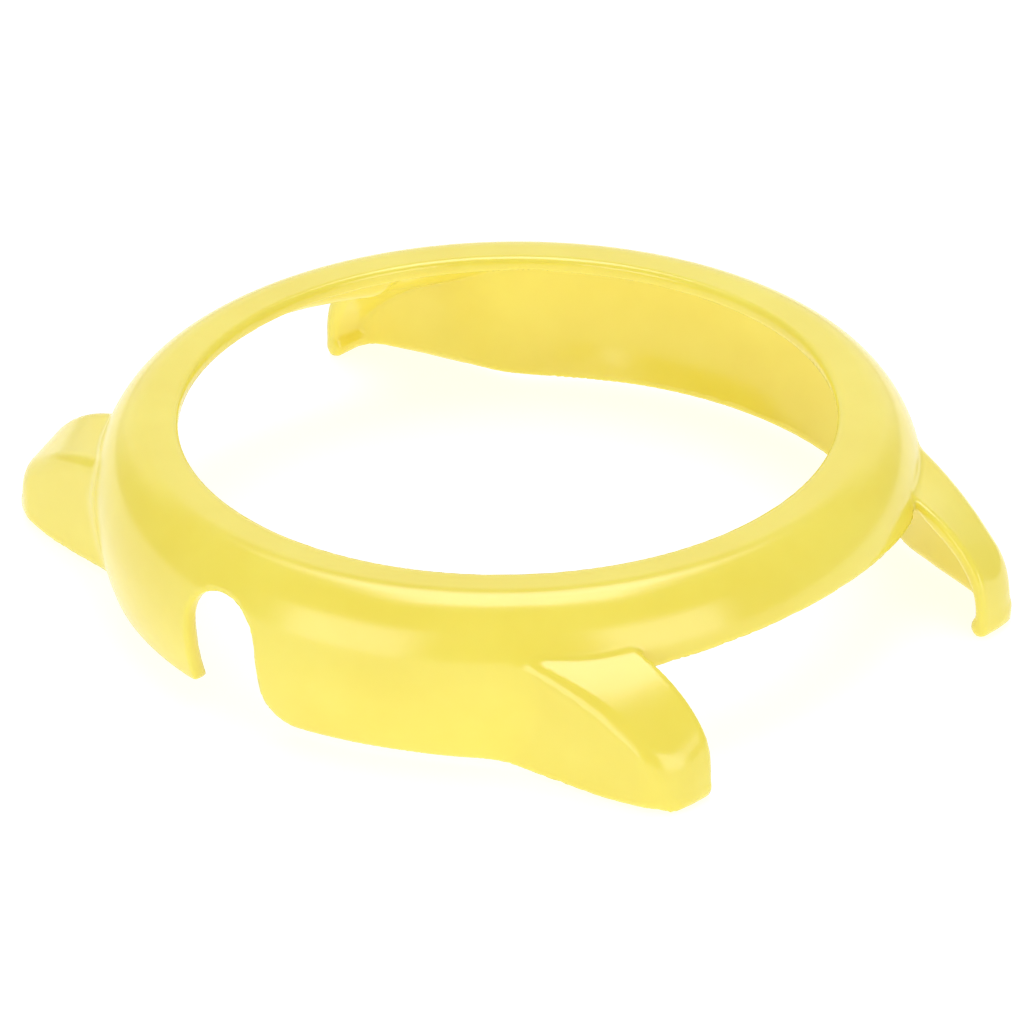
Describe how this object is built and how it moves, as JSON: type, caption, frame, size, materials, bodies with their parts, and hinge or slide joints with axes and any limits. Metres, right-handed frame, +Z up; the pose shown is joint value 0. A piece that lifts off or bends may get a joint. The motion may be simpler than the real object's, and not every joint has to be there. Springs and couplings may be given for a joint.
{
  "type": "smartwatch bezel guard",
  "caption": "Round clip-on bezel guard for a smartwatch: a thin domed ring open over the screen, with hooked guards over the strap lugs and a notch for the side button.",
  "frame": {"origin": "centre of the box's bottom face: on the ring's axis, level with the four hooked tips that it stands on", "axes": "+Z up, out of the screen opening. The strap leaves along +X and -X. The button notch is in the wall at -Y"},
  "size_m": [0.051, 0.0461, 0.0099],
  "materials": {
    "yellow_plastic": "smooth and glossy, moulded through in one colour"
  },
  "bodies": {
    "root": {"bezel_guard": "yellow_plastic"}
  },
  "joints": []
}
